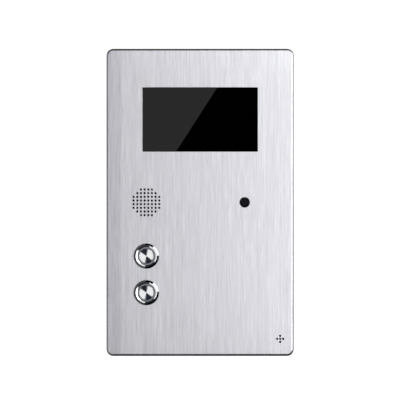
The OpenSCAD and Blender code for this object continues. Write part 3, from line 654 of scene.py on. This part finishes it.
lo, hi = span("light_rings")
b = Build()
for at in BUTTONS.values():
    b.lathe(rounded([(RING_IN, lo[2]), (RING_OUT, lo[2]), (RING_OUT, hi[2]), (RING_IN, hi[2])],
                    [0.05, 0.05, 0.15, 0.15], 3), at, 96)
settle(b.make("light_ring_pair", [MATS["ring_grey"]]), "panel", "light_rings", slot="ring_grey")


# ---------- window and camera ----------

lo, hi = span("display_window")
b = Build()
w, h, z0, z1 = hi[0] - lo[0], hi[1] - lo[1], lo[2], hi[2]
cut = 0.3                                       # ground edge of the glass
glass = [(w - 2 * cut, h - 2 * cut, z0), (w, h, z0 + cut), (w, h, z1 - cut),
         (w - 2 * cut, h - 2 * cut, z1)]
loops = [b.loop(round_rect(a, c, 1.5, 6, *WINDOW_AT), z) for a, c, z in glass]
for one, two in zip(loops, loops[1:]):
    b.bridge(one, two)
b.fill(loops[-1])
b.fill(loops[0], flip=True)
settle(b.make("window", [MATS["window_glass"]]), "panel", "display_window", slot="window_glass")

lo, hi = span("camera_window")
b = Build()
rim, boss = 7, CAMERA_HOLE - 0.1
b.lathe(rounded([(0, lo[2]), (rim, lo[2]), (rim, INNER), (boss, INNER), (boss, hi[2]), (0, hi[2])],
                [0, 0.1, 0.1, 0, 0.25, 0], 4, closed=False), CAMERA_AT, 96, closed=False)
settle(b.make("camera_cover", [clear_cover().m]), "panel", "camera_window", slot="window_glass")


# ---------- microphone ----------

lo, hi = span("mic_capsule")
b = Build()
r, back, front = (hi[0] - lo[0]) / 2, lo[2], hi[2]
felt = r - 0.9
can = rounded([(0, back), (r, back), (r, front), (felt, front), (felt, front - 0.3)],
              [0, 0.3, 0.35, 0.15, 0], 4, closed=False)
b.lathe(can, MIC_AT, 64, closed=False)
b.lathe([(felt, front - 0.3), (felt - 0.1, front - 0.12), (0, front - 0.1)], MIC_AT, 64, slot=1,
        closed=False)
settle(b.make("microphone", [MATS["tinned_metal"], CLOTH]), "panel", "mic_capsule",
       slot="tinned_metal")


# ---------- stage, light and camera: in the frame's metres ----------

FRAME_MM = 350.0                      # width of the picture at the front face
DISTANCE = 4.0
EYE = Vector((-0.0001, -FRONT * MM - DISTANCE, 0.00206))

cam = bpy.data.cameras.new("camera")
cam.sensor_width = 36.0
cam.lens = 36.0 * DISTANCE / (FRAME_MM * MM)
cam.clip_start, cam.clip_end = 0.05, 50
eye = bpy.data.objects.new("camera", cam)
eye.location = EYE
eye.rotation_euler = (math.radians(90), 0, 0)
bpy.context.scene.collection.objects.link(eye)
bpy.context.scene.camera = eye


def softbox(name, at, size, power):
    """A rectangular light that faces the wall squarely."""
    light = bpy.data.lights.new(name, "AREA")
    light.shape = "RECTANGLE"
    light.size, light.size_y = size
    light.energy = power
    obj = bpy.data.objects.new(name, light)
    obj.location = at
    obj.rotation_euler = Vector((0, 1, 0)).to_track_quat("-Z", "Y").to_euler()
    obj.visible_camera = False
    bpy.context.scene.collection.objects.link(obj)


softbox("near_right", (0.32, -0.50, 0.05), (0.3, 0.5), 1.52)
softbox("near_top", (0.30, -0.45, 0.25), (0.2, 0.2), 0.3)


def card(name, corners, strength, faces=None, color=(1, 1, 1)):
    """A bright card that only reflections see."""
    mesh = bpy.data.meshes.new(name)
    mesh.from_pydata([Vector(c) for c in corners], [], faces or [list(range(len(corners)))])
    obj = bpy.data.objects.new(name, mesh)
    m = bpy.data.materials.new(name)
    m.use_nodes = True
    m.node_tree.nodes.clear()
    e = m.node_tree.nodes.new("ShaderNodeEmission")
    e.inputs["Color"].default_value = (*color, 1)
    e.inputs["Strength"].default_value = strength
    out = m.node_tree.nodes.new("ShaderNodeOutputMaterial")
    m.node_tree.links.new(e.outputs[0], out.inputs["Surface"])
    mesh.materials.append(m)
    bpy.context.scene.collection.objects.link(obj)
    obj.visible_camera = obj.visible_diffuse = obj.visible_shadow = False


def mirrored(px, pz, y, glass_y=-FRONT * MM):
    """Where a line from the camera ends up once a flat mirror at a point of the front turns it."""
    reach = (glass_y - y) / (glass_y - EYE.y)
    return Vector((px * MM + (px * MM - EYE.x) * reach, y, pz * MM + (pz * MM - EYE.z) * reach))


# A card behind the camera, whose slanting edge shows across the window.
GLASS_Y = -(INNER - 0.6) * MM
card("glare_card", [mirrored(x, z, -4.6, GLASS_Y)
                    for x, z in ((-70, 125), (30.7, 125), (-37.1, 19.5), (-70, 19.5))], 0.56)

# Cards behind and beside the panel, which its walls and its back reflect in other views.
card("back_card", [(-2.4, 1.6, -1.8), (2.4, 1.6, -1.8), (2.4, 1.6, 1.9), (-2.4, 1.6, 1.9)], 0.7)
card("right_card", [(1.5, -0.1, -1.2), (2.4, 1.6, -1.8), (2.4, 1.6, 1.9), (1.5, -0.1, 1.0)], 0.4)
card("left_card", [(-1.5, -0.1, -1.2), (-2.4, 1.6, -1.8), (-2.4, 1.6, 1.9), (-1.5, -0.1, 1.0)], 0.3)
card("top_card", [(-2.4, 1.6, 1.9), (2.4, 1.6, 1.9), (1.5, 0.3, 1.9), (-1.5, 0.3, 1.9)], 0.35)


def fan(name, azimuth, polar, strength, reach=3.0, color=(1, 1, 1)):
    """A card shaped like part of a dome over the buttons.

    Azimuth runs anticlockwise from the right and polar is the angle from the way that a flat
    mirror at the buttons looks. Both are (from, to), in degrees.
    """
    middle_y = (BUTTONS[1][1] + BUTTONS[2][1]) / 2
    at = panel(BUTTONS[1][0], middle_y, FRONT)
    axis = (mirrored(BUTTONS[1][0], middle_y, -reach) - at).normalized()
    side = axis.cross(Vector((0, 0, 1))).normalized()
    up = side.cross(axis)
    if side.x < 0:
        side = -side

    def ray(a, p):
        a, p = math.radians(a), math.radians(p)
        across = math.cos(a) * side + math.sin(a) * up
        return at + reach * (math.cos(p) * axis + math.sin(p) * across)

    steps, bands = 24, 6
    rows = [[ray(azimuth[0] + (azimuth[1] - azimuth[0]) * k / steps,
                 polar[0] + (polar[1] - polar[0]) * b / bands) for k in range(steps + 1)]
            for b in range(bands + 1)]
    card(name, [v for row in rows for v in row], strength,
         [(b * (steps + 1) + k, b * (steps + 1) + k + 1, (b + 1) * (steps + 1) + k + 1,
           (b + 1) * (steps + 1) + k) for b in range(bands) for k in range(steps)], color)


# Bright at the upper right and the lower left and dark between, so that each turned cap shows
# two bright and two dark wedges. fan_chamfer lights the upper right of each head's chamfer,
# fan_dim its left side, and fan_fill keeps the dark wedges from going black.
fan("fan_right", (-35, 82), (7.6, 52), 0.95)
fan("fan_left", (145, 252), (7.6, 52), 0.95)
fan("fan_chamfer", (3, 54), (66, 80), 1.2, reach=1.5)
fan("fan_dim", (95, 262), (58, 90), 0.07, reach=1.5)
fan("fan_fill", (0, 360), (7.6, 60), 0.03, reach=3.5, color=(0.5, 0.6, 1.0))

FLOOR_R, FLOOR_Z = 0.85, -0.3
floor_mesh = bpy.data.meshes.new("floor")
ring = circle(0, 0, FLOOR_R, 96)
floor_mesh.from_pydata([(x, y, FLOOR_Z) for x, y in ring], [], [list(range(len(ring)))])
floor = bpy.data.objects.new("floor", floor_mesh)
paint = plain("floor_paint", (0.9, 0.9, 0.9), 0.9, grain=0.01, scale=4, depth=0.0)
floor_mesh.materials.append(paint.m)
floor.visible_glossy = False
bpy.context.scene.collection.objects.link(floor)

# A white room that polished metal doesn't see.
world = bpy.data.worlds.new("studio")
bpy.context.scene.world = world
world.use_nodes = True
wn = world.node_tree
wn.nodes.clear()
seen = wn.nodes.new("ShaderNodeLightPath")
white, soft = wn.nodes.new("ShaderNodeBackground"), wn.nodes.new("ShaderNodeBackground")
white.inputs["Color"].default_value = (1, 1, 1, 1)
white.inputs["Strength"].default_value = 1.05
soft.inputs["Color"].default_value = (0.97, 0.98, 1, 1)
soft.inputs["Strength"].default_value = 0.9
mix = wn.nodes.new("ShaderNodeMixShader")
out = wn.nodes.new("ShaderNodeOutputWorld")
wn.links.new(seen.outputs["Is Camera Ray"], mix.inputs["Fac"])
wn.links.new(soft.outputs[0], mix.inputs[1])
wn.links.new(white.outputs[0], mix.inputs[2])
wn.links.new(mix.outputs[0], out.inputs["Surface"])
world.cycles_visibility.glossy = False

bpy.context.scene.view_settings.view_transform = "Standard"
bpy.context.scene.view_settings.look = "None"
